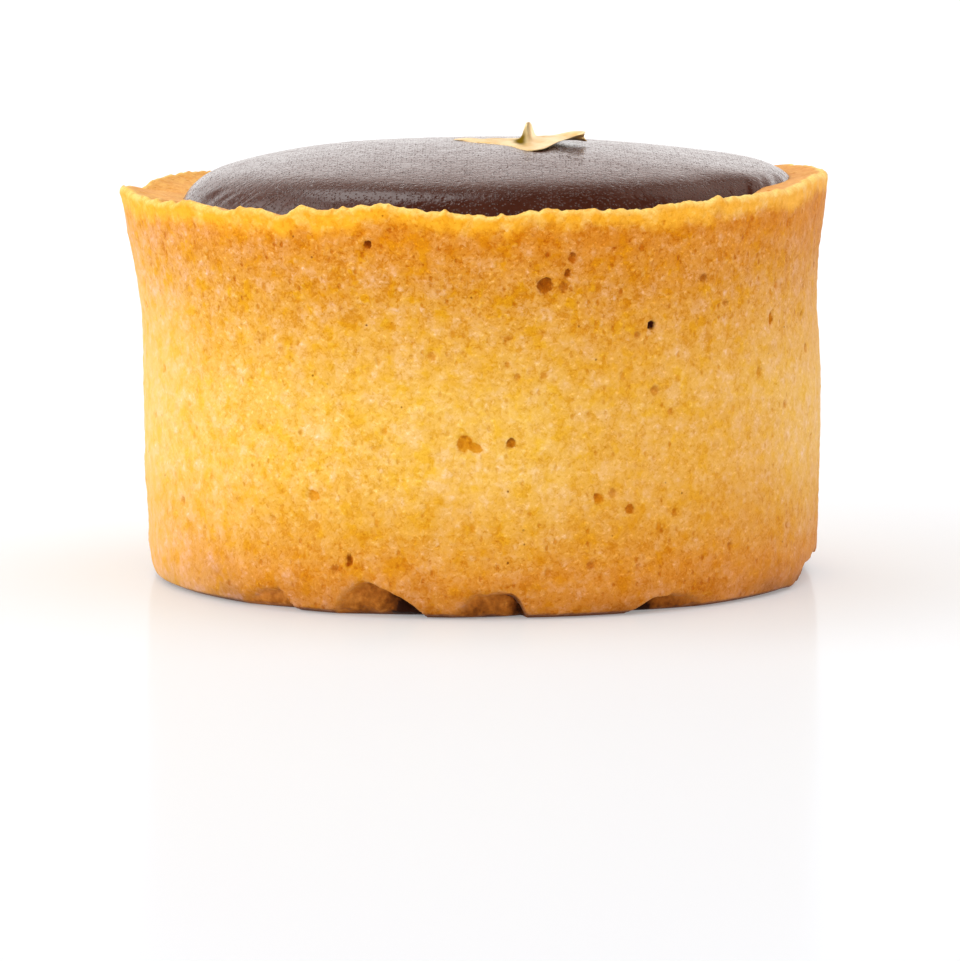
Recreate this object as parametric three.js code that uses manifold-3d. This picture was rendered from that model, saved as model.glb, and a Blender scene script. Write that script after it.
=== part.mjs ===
// A tall sweet-pastry tartlet: a baked crust cup with a flared, uneven rim,
// a domed dark glaze that fills it, and a crumpled flake of gold leaf on top.
// Millimetres, +Z up. The origin is under the middle of the rim, on the surface
// that the tartlet stands on. Angles are in degrees, counted from the front (-Y)
// towards the right (+X).

import * as THREE from 'three';
import { mergeVertices } from 'three/addons/utils/BufferGeometryUtils.js';
import Module from 'manifold-3d';

const { clamp, degToRad, euclideanModulo, lerp, radToDeg, smoothstep } = THREE.MathUtils;

// Driving dimensions of the crust
const RIM_RADIUS = 31.3;
const RIM_HEIGHT = 34.95;
const RIM_TILT = 0.65; // the right side of the rim stands this far above its mean height
const RIM_CRUMB = { height: 0.1, around: [37, 23] }; // fine unevenness, in waves round the rim
const LIP = { drop: 0.45, shoulder: 0.14 }; // rounding of the rim's outer edge
const BODY_RADIUS = 30.15;
const BODY_DRAFT = 0.2; // the body narrows by this much from the flare down to the base
const BODY_SHIFT = 0.85; // the body's middle lies this far to the right of the rim's
const BODY_WAVE = { depth: 0.12, around: [3, 5], upward: [9, -4] }; // hand-pressed unevenness
const FLARE_START = 20.8;
const FLARE_POWER = 1.25;
const BASE_EDGE_INSET = 1;
const BASE_EDGE_HEIGHT = 4;
const CUP_RADIUS = 27.6;
const CUP_SHIFT = 1.3; // the cup's middle lies this far to the right of the rim's
const CUP_FLOOR_RADIUS = 26.4;
const CUP_FLOOR = 3.8;
const CUP_MOUTH_HEIGHT = 33.4; // where the rim's bevel ends and the cup begins
const CUP_MOUTH_TILT = 0.3;

// Shallow dent in the right side of the wall, below the rim
const WAIST = { angle: 95, z: 26.5, depth: 0.5, spread: 45, reach: 6 };

// Unevenness of the rim: angle, rise and half-width of each bump or dip
const RIM_BUMPS = [
  { angle: -104, rise: -0.75, spread: 5 },
  { angle: -80, rise: 0.4, spread: 10 },
  { angle: -51.5, rise: 0.35, spread: 4 },
  { angle: -43, rise: -0.33, spread: 3 },
  { angle: -32, rise: -0.42, spread: 2.2 },
  { angle: -28, rise: 0.45, spread: 1.6 },
  { angle: -15.5, rise: 0.62, spread: 5.5 },
  { angle: 3, rise: -0.45, spread: 5.5 },
  { angle: 26, rise: -0.42, spread: 11 },
  { angle: 75, rise: 0.55, spread: 9 },
  { angle: 128, rise: 0.3, spread: 5 },
  { angle: 143, rise: -0.35, spread: 3 },
  { angle: 158, rise: 0.4, spread: 6 },
  { angle: 173, rise: -0.3, spread: 4 },
  { angle: 186, rise: 0.25, spread: 2.5 },
  { angle: 199, rise: -0.45, spread: 5 },
  { angle: 215, rise: 0.35, spread: 4 },
  { angle: 229, rise: -0.25, spread: 3 },
];

// Pieces broken out of the base edge: where the break is highest, how far it
// runs to the left and to the right of that, and its height
const CHIPS = [
  { angle: -35, left: 9.5, right: 3, height: 1.65 },
  { angle: -18.4, left: 6, right: 10.5, height: 2.65 },
  { angle: 5, left: 9, right: 4.2, height: 2.45 },
  { angle: 33.9, left: 7, right: 8, height: 1.45 },
  { angle: 82, left: 16, right: 16, height: 2.2 },
  { angle: 128, left: 7, right: 5, height: 1.5 },
  { angle: 158, left: 5, right: 9, height: 2.3 },
  { angle: 190, left: 9, right: 6, height: 1.4 },
  { angle: 224, left: 5, right: 8, height: 2 },
];
const CHIP_DEPTH = 1.4;
const CHIP_ROOT = 0.5; // height of the base edge's lowest ring where nothing is broken out
const CHIP_EDGE = 0.12;
const CHIP_ROUNDNESS = 2.4;

// Open pores in the wall: angle, height, width and how tall each is
const PORES = [
  { angle: -0.8, z: 14.9, width: 2.2, tall: 1.2 },
  { angle: 6, z: 15.2, width: 0.9, tall: 0.9 },
  { angle: 29.6, z: 24.8, width: 1, tall: 1 },
  { angle: 11.5, z: 28.6, width: 1.3, tall: 1.3 },
  { angle: 15.7, z: 30.2, width: 0.7, tall: 1.9 },
  { angle: -17.3, z: 31.9, width: 0.9, tall: 0.9 },
  { angle: -20.9, z: 4.8, width: 0.8, tall: 1 },
  { angle: 20.5, z: 10.2, width: 1, tall: 1 },
  { angle: 25.9, z: 9.2, width: 0.9, tall: 0.9 },
  { angle: -27.4, z: 10.2, width: 1.4, tall: 1 },
  { angle: 56.5, z: 24.4, width: 0.7, tall: 1.5 },
  { angle: 98, z: 12.5, width: 1.2, tall: 0.9 },
  { angle: 131, z: 27.3, width: 1.3, tall: 1.1 },
  { angle: 149, z: 14.1, width: 0.9, tall: 1 },
  { angle: 171, z: 20.6, width: 1.6, tall: 1 },
  { angle: 187, z: 9.4, width: 1, tall: 1.2 },
  { angle: 208, z: 29.2, width: 0.9, tall: 1.4 },
  { angle: 226, z: 17.7, width: 1.2, tall: 1 },
  { angle: 262, z: 22.4, width: 0.9, tall: 0.8 },
];
const PORE_DEPTH = 0.7;

// Driving dimensions of the filling
const FIT_GAP = 0.3;
const DOME_RADIUS = CUP_RADIUS - FIT_GAP;
const DOME_CROWN = 2.9; // broad rise of the dome
const DOME_ROLL = 2.6; // steep rounded rise at the dome's edge
const DOME_ROLL_POWER = 20;

// Driving dimensions of the gold leaf. Places on it run from -1 to 1, across it
// from left to right and along it from front to back.
const LEAF_WIDTH = 11.4;
const LEAF_DEPTH = 9.6;
const LEAF_MIDDLE = { x: 4.1, y: -2.4 };
const LEAF_SLANT = 2.6; // the left end lies this far behind the middle
const LEAF_SWAY = { depth: 0.6, turns: 4 }; // the strip bends to and fro along its width
const LEAF_TAIL = 0.35; // share of the depth that the narrow end keeps
const LEAF_BELLY = { across: 0.25, spread: 0.5 }; // where the leaf is widest
const LEAF_THICKNESS = 0.2;
const LEAF_REST = 0.15; // clearance between the leaf and the dome
const LEAF_RIPPLE = { height: 0.06, across: 9, skew: 2, along: 5 };
const LEAF_FOLD = { height: 1.3, across: 0.13, width: 0.1, along: 0.2, length: 0.45 };
const LEAF_CORNER = { height: 1, start: 0.3, middle: 0.62, towardFront: 0.58 };

// Fineness of the facets
const CRUST_COLUMNS = 180;
const WALL_ROWS = 10;
const FILLING_COLUMNS = 90;
const DOME_SHARES = [1, 0.99, 0.97, 0.93, 0.85, 0.7, 0.5, 0.25, 0];
const LEAF_COLUMNS = 20;
const LEAF_ROWS = 7;
const PORE_DETAIL = 1;
const WELD = 1e-4;

const wasm = await Module();
wasm.setup();

const sine = (angle) => Math.sin(degToRad(angle));
const turn = (angle, from) => euclideanModulo(angle - from + 180, 360) - 180;
const bell = (offset, spread) => Math.exp(-((offset / spread) ** 2));

// Height of the rim's outer edge: a tilted ring with bumps, dips and fine crumbs.
function rimHeight(angle) {
  const rises = RIM_BUMPS.map((bump) => bump.rise * bell(turn(angle, bump.angle), bump.spread));
  const bumps = rises.reduce((sum, rise) => sum + rise, 0);
  const crumbs = RIM_CRUMB.around.reduce((product, waves) => product * sine(waves * angle), RIM_CRUMB.height);
  return RIM_HEIGHT + RIM_TILT * sine(angle) + bumps + crumbs;
}

// Height of the break in the base edge, nothing where the edge is whole.
function chipHeight(angle) {
  const heights = CHIPS.map((chip) => {
    const away = turn(angle, chip.angle);
    const share = Math.abs(away) / (away < 0 ? chip.left : chip.right);
    return share < 1 ? chip.height * (1 - share ** CHIP_ROUNDNESS) : 0;
  });
  return Math.max(...heights);
}

// How far the hand-pressed wall stands out of its even shape.
function wallUnevenness(angle, z) {
  const [first, second] = [0, 1].map((i) => sine(BODY_WAVE.around[i] * angle + BODY_WAVE.upward[i] * z));
  const waist = WAIST.depth * bell(turn(angle, WAIST.angle), WAIST.spread) * bell(z - WAIST.z, WAIST.reach);
  return BODY_WAVE.depth * first * second - waist;
}

// Radius of the wall's outside: a drafted body with a rounded base edge, that
// flares to the round rim, and is set back where the base edge is broken.
function wallRadius(angle, z) {
  const flare = clamp((z - FLARE_START) / (rimHeight(angle) - FLARE_START), 0, 1) ** FLARE_POWER;
  const draft = BODY_DRAFT * (1 - Math.min(z / FLARE_START, 1));
  const body = BODY_RADIUS - draft + BODY_SHIFT * sine(angle);
  const below = 1 - Math.min(z / BASE_EDGE_HEIGHT, 1);
  const rounding = BASE_EDGE_INSET * (1 - Math.sqrt(1 - below ** 2));
  const chip = chipHeight(angle);
  const setBack = CHIP_DEPTH * smoothstep(chip, 0, CHIP_ROOT) * smoothstep(chip - z, -CHIP_EDGE, CHIP_EDGE);
  return lerp(body - rounding - setBack, RIM_RADIUS, flare) + wallUnevenness(angle, z);
}

// Distance from the rim's middle to a circle about the cup's own axis.
function cupReach(angle, radius) {
  const side = degToRad(angle);
  return CUP_SHIFT * Math.sin(side) + Math.sqrt(radius ** 2 - (CUP_SHIFT * Math.cos(side)) ** 2);
}

// One upright section of the crust at an angle, from the middle of the underside
// out, up the wall, over the bevelled rim and down the cup to its floor.
function crustSection(angle) {
  const top = rimHeight(angle);
  const root = Math.max(chipHeight(angle), CHIP_ROOT);
  const heights = [0, root / 2, root - CHIP_EDGE];
  for (let row = 0; row < WALL_ROWS; row++) {
    heights.push(lerp(root + CHIP_EDGE, top - LIP.drop, row / (WALL_ROWS - 1)));
  }
  const wall = heights.map((z) => new THREE.Vector2(wallRadius(angle, z), z));
  const edge = wallRadius(angle, top);
  const mouth = CUP_MOUTH_HEIGHT + CUP_MOUTH_TILT * sine(angle);
  return [
    new THREE.Vector2(0, 0),
    new THREE.Vector2(wall[0].x / 2, 0),
    ...wall,
    new THREE.Vector2(edge - LIP.shoulder, top - LIP.shoulder),
    new THREE.Vector2(edge - LIP.drop, top),
    new THREE.Vector2(cupReach(angle, CUP_RADIUS), mouth),
    new THREE.Vector2(cupReach(angle, (CUP_FLOOR_RADIUS + CUP_RADIUS) / 2), (CUP_FLOOR + mouth) / 2),
    new THREE.Vector2(cupReach(angle, CUP_FLOOR_RADIUS), CUP_FLOOR),
    new THREE.Vector2(0, CUP_FLOOR),
  ];
}

// Height of the filling's top at an angle about the cup's axis and a share of its
// radius: a broad crown with a steep rounded edge, on the level where it meets the crust.
function domeHeight(angle, share) {
  const level = CUP_MOUTH_HEIGHT - FIT_GAP + CUP_MOUTH_TILT * sine(angle) * share;
  return level + DOME_CROWN * (1 - share ** 2) + DOME_ROLL * (1 - share ** DOME_ROLL_POWER);
}

// One upright section of the filling about the cup's axis, from the floor to the top.
function fillingSection(angle) {
  const floor = CUP_FLOOR + FIT_GAP;
  return [
    new THREE.Vector2(0, floor),
    new THREE.Vector2(CUP_FLOOR_RADIUS - FIT_GAP, floor),
    ...DOME_SHARES.map((share) => new THREE.Vector2(DOME_RADIUS * share, domeHeight(angle, share))),
  ];
}

// A closed solid whose upright section changes with the angle: a lathe form
// with each of its columns laid on that angle's own section.
function turnedSolid(section, columns) {
  const geometry = new THREE.LatheGeometry(section(0), columns);
  const position = geometry.attributes.position;
  for (let column = 0; column <= columns; column++) {
    const angle = (360 * (column % columns)) / columns;
    const side = degToRad(angle);
    section(angle).forEach((point, row, points) => {
      const index = column * points.length + row;
      position.setXYZ(index, point.x * Math.sin(side), -point.x * Math.cos(side), point.y);
    });
  }
  return welded(geometry);
}

// Merges shared vertices and drops the empty triangles at the poles.
function welded(geometry) {
  geometry.deleteAttribute('normal');
  geometry.deleteAttribute('uv');
  const merged = mergeVertices(geometry, WELD);
  const corners = merged.index.array;
  const kept = [];
  for (let i = 0; i < corners.length; i += 3) {
    const [a, b, c] = corners.slice(i, i + 3);
    if (a !== b && b !== c && c !== a) kept.push(a, b, c);
  }
  merged.setIndex(kept);
  return merged;
}

function toManifold(geometry) {
  return new wasm.Manifold(new wasm.Mesh({
    numProp: 3,
    vertProperties: new Float32Array(geometry.attributes.position.array),
    triVerts: new Uint32Array(geometry.index.array),
  }));
}

function toGeometry(solid) {
  const mesh = solid.getMesh();
  const geometry = new THREE.BufferGeometry();
  geometry.setAttribute('position', new THREE.BufferAttribute(mesh.vertProperties, 3));
  geometry.setIndex(new THREE.BufferAttribute(mesh.triVerts, 1));
  return geometry;
}

// A small faceted ellipsoid that sits half in the wall.
function poreGeometry({ angle, z, width, tall }) {
  const radius = wallRadius(angle, z);
  const side = degToRad(angle);
  const pore = new THREE.IcosahedronGeometry(1, PORE_DETAIL);
  pore.scale(width / 2, PORE_DEPTH, tall / 2);
  pore.rotateZ(side);
  pore.translate(radius * Math.sin(side), -radius * Math.cos(side), z);
  return welded(pore);
}

// The crust: the turned cup with its pores cut out.
function crustGeometry() {
  const cup = toManifold(turnedSolid(crustSection, CRUST_COLUMNS));
  return toGeometry(PORES.reduce((solid, pore) => solid.subtract(toManifold(poreGeometry(pore))), cup));
}

// Half the leaf's depth at a place across it: a narrow torn strip on the left
// that widens to the right of the middle.
function leafHalfDepth(across) {
  const belly = bell(across - LEAF_BELLY.across, LEAF_BELLY.spread);
  return (LEAF_DEPTH / 2) * lerp(LEAF_TAIL, 1, belly);
}

// Height of the leaf above the dome: ripples, a pinched fold and a lifted corner.
function leafLift(across, along) {
  const waves = Math.sin(LEAF_RIPPLE.across * across + LEAF_RIPPLE.skew * along);
  const ripple = LEAF_RIPPLE.height * (1 + waves * Math.cos(LEAF_RIPPLE.along * along));
  const fold = LEAF_FOLD;
  const pinch = bell(across - fold.across, fold.width) * bell(along - fold.along, fold.length);
  const corner = LEAF_CORNER;
  const bend = smoothstep(across, corner.start, 1) * (corner.middle - corner.towardFront * along);
  return ripple + fold.height * pinch + corner.height * bend;
}

// A point of the leaf's underside, laid on the dome.
function leafPoint(across, along) {
  const x = LEAF_MIDDLE.x + (across * LEAF_WIDTH) / 2;
  const sway = LEAF_SWAY.depth * Math.sin(LEAF_SWAY.turns * across) + LEAF_SLANT * Math.max(-across, 0);
  const y = LEAF_MIDDLE.y + along * leafHalfDepth(across) + sway;
  const fromAxis = new THREE.Vector2(x - CUP_SHIFT, y);
  const share = fromAxis.length() / DOME_RADIUS;
  const angle = radToDeg(Math.atan2(fromAxis.x, -fromAxis.y));
  return new THREE.Vector3(x, y, domeHeight(angle, share) + LEAF_REST + leafLift(across, along));
}

// Indices round the border of the leaf's grid, counter-clockwise seen from above.
function leafBorder() {
  const stride = LEAF_COLUMNS + 1;
  const last = stride * LEAF_ROWS;
  const steps = (length, index) => Array.from({ length }, (_, i) => index(i));
  return [
    ...steps(LEAF_ROWS, (i) => i * stride),
    ...steps(LEAF_COLUMNS, (i) => last + i),
    ...steps(LEAF_ROWS, (i) => last + LEAF_COLUMNS - i * stride),
    ...steps(LEAF_COLUMNS, (i) => LEAF_COLUMNS - i),
  ];
}

// The leaf: two alike grids, a thickness apart, closed round their border.
function leafGeometry() {
  const sheet = new THREE.PlaneGeometry(2, 2, LEAF_COLUMNS, LEAF_ROWS);
  const flat = sheet.attributes.position;
  const top = sheet.index.array;
  const count = flat.count;
  const points = new Float32Array(count * 6);
  for (let i = 0; i < count; i++) {
    const point = leafPoint(flat.getX(i), flat.getY(i));
    points.set([point.x, point.y, point.z + LEAF_THICKNESS], i * 3);
    points.set([point.x, point.y, point.z], (count + i) * 3);
  }
  const faces = [...top];
  for (let i = 0; i < top.length; i += 3) {
    faces.push(count + top[i], count + top[i + 2], count + top[i + 1]);
  }
  leafBorder().forEach((from, i, border) => {
    const to = border[(i + 1) % border.length];
    faces.push(from, count + from, to, to, count + from, count + to);
  });
  const geometry = new THREE.BufferGeometry();
  geometry.setAttribute('position', new THREE.BufferAttribute(points, 3));
  geometry.setIndex(faces);
  return geometry;
}

function namedMesh(name, geometry, finish) {
  const mesh = new THREE.Mesh(geometry, new THREE.MeshStandardMaterial(finish));
  mesh.name = name;
  return mesh;
}

const crust = namedMesh('crust', crustGeometry(), { color: 0xe9b257, roughness: 0.85, metalness: 0 });
const filling = namedMesh('filling', turnedSolid(fillingSection, FILLING_COLUMNS), {
  color: 0x3f2219, roughness: 0.35, metalness: 0,
});
filling.position.x = CUP_SHIFT;
const goldLeaf = namedMesh('gold_leaf', leafGeometry(), { color: 0xe8c673, roughness: 0.3, metalness: 1 });

const tartlet = new THREE.Group();
tartlet.add(crust, filling, goldLeaf);

export default tartlet;
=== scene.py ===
"""Looks of one caramel tartlet: a golden baked crust, a domed dark glaze and a flake of gold leaf.

Sizes are in millimetres, as in the part's source, up to the point where a mesh is made in metres.
Angles are in degrees, counted from the front (-Y) towards the right (+X).
"""

import math

import bpy
import numpy as np
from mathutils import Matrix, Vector


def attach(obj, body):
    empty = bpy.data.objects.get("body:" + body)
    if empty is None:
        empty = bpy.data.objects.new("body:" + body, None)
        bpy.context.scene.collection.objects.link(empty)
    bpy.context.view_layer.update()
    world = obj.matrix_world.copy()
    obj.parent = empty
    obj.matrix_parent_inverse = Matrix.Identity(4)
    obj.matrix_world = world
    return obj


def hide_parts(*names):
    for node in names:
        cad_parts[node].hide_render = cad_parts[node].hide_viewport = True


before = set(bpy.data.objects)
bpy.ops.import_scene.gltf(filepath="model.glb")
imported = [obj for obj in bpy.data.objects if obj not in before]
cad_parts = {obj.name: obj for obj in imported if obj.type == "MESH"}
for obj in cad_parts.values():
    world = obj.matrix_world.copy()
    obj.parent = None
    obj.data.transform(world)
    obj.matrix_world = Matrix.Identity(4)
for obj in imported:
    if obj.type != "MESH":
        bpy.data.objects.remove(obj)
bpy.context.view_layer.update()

MM = 0.001

# Cells of the random waves along a side, before they repeat
LATTICE = 64

# Crust: rim, lip, where the rim is most crumbly, body, flare, base edge, cup, and the dent of its waist
RIM_RADIUS, RIM_HEIGHT, RIM_TILT = 31.3, 34.95, 0.65
LIP = 0.45
CRUMBLY_ANGLE, CRUMBLY_SPREAD = 25, 30
BODY_RADIUS, BODY_DRAFT, BODY_SHIFT = 30.15, 0.2, 0.85
FLARE_START, FLARE_POWER = 20.8, 1.25
BASE_EDGE_INSET, BASE_EDGE_HEIGHT = 1.0, 4.0
CUP_SHIFT, CUP_FLOOR_RADIUS, CUP_FLOOR = 1.3, 26.4, 3.8
CUP_MOUTH_RADIUS, CUP_MOUTH_HEIGHT, CUP_MOUTH_TILT = 26.7, 33.4, 0.3
WAIST_ANGLE, WAIST_HEIGHT, WAIST_DEPTH, WAIST_SPREAD, WAIST_REACH = 95, 26.5, 0.5, 45, 6

# Bumps and dips of the rim: angle, rise, spread
RIM_BUMPS = (
    (-104, -0.75, 5), (-80, 0.4, 10), (-51.5, 0.35, 4), (-43, -0.33, 3), (-32, -0.42, 2.2), (-28, 0.45, 1.6),
    (-15.5, 0.62, 5.5), (3, -0.45, 5.5), (26, -0.42, 11), (75, 0.55, 9), (97, 0.3, 8), (123, -0.5, 9),
    (158, 0.4, 6), (173, -0.3, 4), (186, 0.25, 2.5), (199, -0.45, 5), (215, 0.35, 4), (229, -0.25, 3),
)

# Pieces broken out of the base edge: angle, reach to the left and to the right, height, 1 if deeper at the
# right or -1 if deeper at the left, how brown at the shallow end, and how dark at the deep end with painted
# shade
CHIPS = (
    (-35, 9.5, 3, 1.65, 1, 0.21, 0.7), (-18.4, 6, 10.5, 2.65, 1, 0.27, 1.15), (5, 9, 4.2, 2.45, 1, 0.43, 0.8),
    (34.5, 8, 8, 1.4, -1, 0.48, 0.95), (82, 16, 16, 2.2, 1, 0.35, 0.9), (128, 7, 5, 1.5, 1, 0.3, 0.8),
    (158, 5, 9, 2.3, -1, 0.25, 0.9), (190, 9, 6, 1.4, 1, 0.35, 0.8), (224, 5, 8, 2, -1, 0.3, 1),
)
CHIP_DEPTH, CHIP_ROOT, CHIP_EDGE, CHIP_RAGGED = 1.2, 0.5, 0.12, 0.16
FOOT_DEPTH, FOOT_HEIGHT = 0.6, 0.5

# Where the mouth of the cup is raised: at the right an angle, the reach of the rise and of its flat top, and
# a height, at the left an angle, a spread and a height
RIGHT_RISE_ANGLE, RIGHT_RISE_REACH, RIGHT_RISE_FLAT, RIGHT_RISE = 89, 40, 23, 1.7
LEFT_RISE_ANGLE, LEFT_RISE_SPREAD, LEFT_RISE = -72, 14, 0.6

# Columns of the meshes round the axis, and how much closer those of the crust lie at the front, in degrees
CRUST_COLUMNS, DOME_COLUMNS, CLOSER = 640, 480, 24

# Open pores of the wall: angle, height, width, how tall, how toasted
PORES = (
    (-1.7, 15.1, 1.5, 1.5, 0.2), (0.6, 14.7, 1.4, 1, 0.12), (6, 15.2, 0.85, 0.85, 0.48),
    (29.6, 24.8, 0.95, 0.9, 1), (11.5, 28.6, 1.4, 1.5, 0.5), (15.7, 30.8, 0.8, 1, 0.3),
    (15, 29.5, 0.7, 0.9, 0.45), (-16.8, 31.95, 0.85, 0.75, 0.62), (-20.9, 4.8, 0.75, 1.1, 0.42),
    (20.5, 10.2, 1, 1.1, 0.2), (25.9, 9.2, 0.8, 0.9, 0.26), (-27.4, 10.2, 1.4, 1, 0.05),
    (56.5, 24.4, 0.7, 1.5, 0.3), (98, 12.5, 1.2, 0.9, 0.3), (131, 27.3, 1.3, 1.1, 0.5),
    (149, 14.1, 0.9, 1, 0.2), (171, 20.6, 1.6, 1, 0.15), (187, 9.4, 1, 1.2, 0.4),
    (208, 29.2, 0.9, 1.4, 0.8), (226, 17.7, 1.2, 1, 0.1), (262, 22.4, 0.9, 0.8, 0.5),
)
# Shallower dimples between them, in the same order, and how many more lie at random round the back
DIMPLES = (
    (14.3, 28.4, 1, 1.2, 0.4), (-23.4, 4.1, 0.9, 0.8, 0.25), (23, 10.6, 0.8, 0.9, 0.3),
    (-14.7, 16.1, 0.8, 0.9, 0), (-35.6, 7.9, 0.9, 0.8, 0.1), (-6.7, 22.5, 1.1, 0.9, 0.2),
    (5.4, 24.1, 1.3, 0.7, 0.2), (5.4, 21.8, 0.7, 0.8, 0.1), (11.2, 20.9, 0.9, 0.8, 0.2),
    (7.1, 20.7, 0.6, 0.7, 0.2), (27.1, 24.1, 0.7, 0.8, 0.4), (30.4, 19.2, 0.9, 0.9, 0.3),
    (33.4, 17.3, 0.8, 0.8, 0.2), (34.3, 8.6, 0.7, 0.9, 0.3), (19.1, 4.5, 0.8, 0.7, 0.3),
    (27.4, 4.2, 0.7, 0.8, 0.3), (46.2, 5.3, 0.8, 0.9, 0.4), (53.5, 19.9, 0.7, 1, 0.3),
    (39.1, 28.6, 0.9, 0.8, 0.5), (44.5, 26.3, 0.8, 0.8, 0.4), (-53.8, 25, 0.9, 0.7, 0.1),
    (-68.1, 30.5, 0.6, 1.4, 0.1), (-61.5, 30.1, 0.6, 1.5, 0.15),
)
BACK_DIMPLES = 70
PORE_DEPTH, DIMPLE_DEPTH = 0.6, 0.22

# Sides of the wall painted darker and paler, as painted shade towards the right front and painted light on
# the left: angle, spread
SHADED_SIDE_ANGLE, SHADED_SIDE_SPREAD = 38, 22
LIT_SIDE_ANGLE, LIT_SIDE_SPREAD = -78, 40

# Filling: gap to the cup, radius, shift to the right, crown, rolled edge, how close to that edge it follows
# the raised mouth, and where the edge is folded: angle, spread
DOME_GAP, DOME_RADIUS, DOME_SHIFT = 0.3, 27.1, 1.15
DOME_CROWN, DOME_ROLL, DOME_ROLL_POWER, DOME_RISE_POWER = 2.9, 2.6, 20, 14
LEFT_FOLDS_ANGLE, LEFT_FOLDS_SPREAD = -54, 13
RIGHT_FOLDS_ANGLE, RIGHT_FOLDS_SPREAD = 55, 9

# Gold leaf: size, place, slant of its left end, tail and belly as shares, lobe to the front, thickness
LEAF_WIDTH, LEAF_DEPTH, LEAF_X, LEAF_Y, LEAF_SLANT = 11.4, 9.6, 4.1, -2.4, 2.6
LEAF_TAIL, LEAF_BELLY, LEAF_BELLY_SPREAD, LEAF_LOBE = 0.35, 0.25, 0.5, 2.4
LEAF_THICKNESS = 0.05

# Floor: half its width in metres, and points along a side
FLOOR_REACH, FLOOR_POINTS = 4, 9

# Lights: where the softbox stands and faces, and its width, in metres, and its power, then the strength,
# spread and tilt of the ceiling light
SOFTBOX_PLACE, SOFTBOX_AIM, SOFTBOX_WIDTH, SOFTBOX_POWER = (-0.8, -0.12, 0.4), (0, 0, 0.018), 1.0, 3.1
CEILING_STRENGTH, CEILING_SPREAD, CEILING_TILT = 1.38, 60, 26

# Camera: place, pitch, and focal length in widths of the picture
CAMERA_PLACE, CAMERA_PITCH, CAMERA_FOCUS = (0.57, -550.0, 79.35), 7.38, 6205 / 960


def sine(angle):
    """Sine of an angle in degrees."""
    return np.sin(np.radians(angle))


def turn(angle, start):
    """Signed way round from one angle to another, from -180 to 180."""
    return (angle - start + 180) % 360 - 180


def bell(offset, spread):
    """Bell curve: 1 at no offset, and 1 over e where the offset is the spread."""
    return np.exp(-((offset / spread) ** 2))


def ease(value, low, high):
    """Smooth step from 0 at low to 1 at high."""
    share = np.clip((value - low) / (high - low), 0, 1)
    return share * share * (3 - 2 * share)


def noise(points, size, seed):
    """Smooth random waves from -1 to 1: seeded values on a cubic lattice of this size, eased between the
    corners of its cells."""
    values = np.random.default_rng(seed).uniform(-1, 1, (LATTICE,) * 3)
    corner = np.floor(points / size).astype(int)
    share = points / size - corner
    share = share * share * (3 - 2 * share)
    total = np.zeros(points.shape[:-1])
    for step in np.ndindex(2, 2, 2):
        weight = np.where(step, share, 1 - share).prod(axis=-1)
        total += weight * values[tuple(np.moveaxis((corner + step) % LATTICE, -1, 0))]
    return total


def round_place(angle, radius, z):
    """Points at an angle and radius about the upright axis."""
    x, y = radius * sine(angle), -radius * np.cos(np.radians(angle))
    return np.stack(np.broadcast_arrays(x, y, z), axis=-1)


def rim_height(angle):
    """Height of the rim's edge: a tilted ring with bumps and dips, and fine crumbs along it."""
    bumps = sum(rise * bell(turn(angle, at), spread) for at, rise, spread in RIM_BUMPS)
    ring = round_place(angle, RIM_RADIUS, 0.0)
    coarse, small, tiny = noise(ring, 2.3, 1), noise(ring, 0.8, 2), noise(ring, 0.4, 3)
    crumbly = 0.18 + 0.08 * bell(turn(angle, CRUMBLY_ANGLE), CRUMBLY_SPREAD)
    crumbs = 0.08 * coarse + crumbly * small * np.abs(small) + 0.16 * tiny * np.abs(tiny)
    return RIM_HEIGHT + RIM_TILT * sine(angle) + bumps + crumbs


def chip_form(angle):
    """Height of the break in the base edge, how deep it goes, how soft its edge is, and its brown with
    painted shade: each break is a ragged arch, shallow and soft at one end, that gets deep, sharp and
    darker towards its other end, where painted shade stands in for the shadow in the cavity."""
    height, depth, soft, brown = np.zeros((4, angle.size))
    for at, left, right, tall, side, pale, dark in CHIPS:
        away = turn(angle, at)
        share = side * np.clip(away / np.where(away < 0, left, right), -1, 1)
        arch = tall * (1 - np.abs(share) ** np.where(share < 0, 1.7, 2.4))
        depth = np.where(arch > height, CHIP_DEPTH * (1 + share), depth)
        soft = np.where(arch > height, 1 + 5 * ease(-share, -0.3, 0.7), soft)
        brown = np.where(arch > height, pale + (dark - pale) * ease(share, 0.15, 0.65), brown)
        height = np.maximum(height, arch)
    ragged = 1 + CHIP_RAGGED * noise(round_place(angle, BODY_RADIUS, 0.0), 1.3, 13)
    return height * ragged, depth, np.where(height > 0, soft, 1), brown


def wall_radius(angle, z):
    """Radius of the wall: a drafted body with a rounded base edge, that flares to the rim, is dented at its
    waist, set back in the breaks of its base edge and undercut at its foot."""
    flare = np.clip((z - FLARE_START) / (rim_height(angle) - FLARE_START), 0, 1) ** FLARE_POWER
    body = BODY_RADIUS - BODY_DRAFT * (1 - np.minimum(z / FLARE_START, 1)) + BODY_SHIFT * sine(angle)
    below = 1 - np.minimum(z / BASE_EDGE_HEIGHT, 1)
    rounding = BASE_EDGE_INSET * (1 - np.sqrt(1 - below**2))
    chip, depth, soft, _ = chip_form(angle)
    slope = 0.65 + 0.35 * np.minimum(z / np.maximum(chip, CHIP_ROOT), 1)
    set_back = depth * slope * ease(chip, 0, CHIP_ROOT) * ease(chip - z, -CHIP_EDGE * soft, CHIP_EDGE)
    waist = WAIST_DEPTH * bell(turn(angle, WAIST_ANGLE), WAIST_SPREAD) * bell(z - WAIST_HEIGHT, WAIST_REACH)
    wave = 0.12 * sine(3 * angle + 9 * z) * sine(5 * angle - 4 * z)
    foot = FOOT_DEPTH * (1 - ease(z, 0, FOOT_HEIGHT))
    return (body - rounding - set_back - foot) * (1 - flare) + RIM_RADIUS * flare + wave - waist


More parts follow.
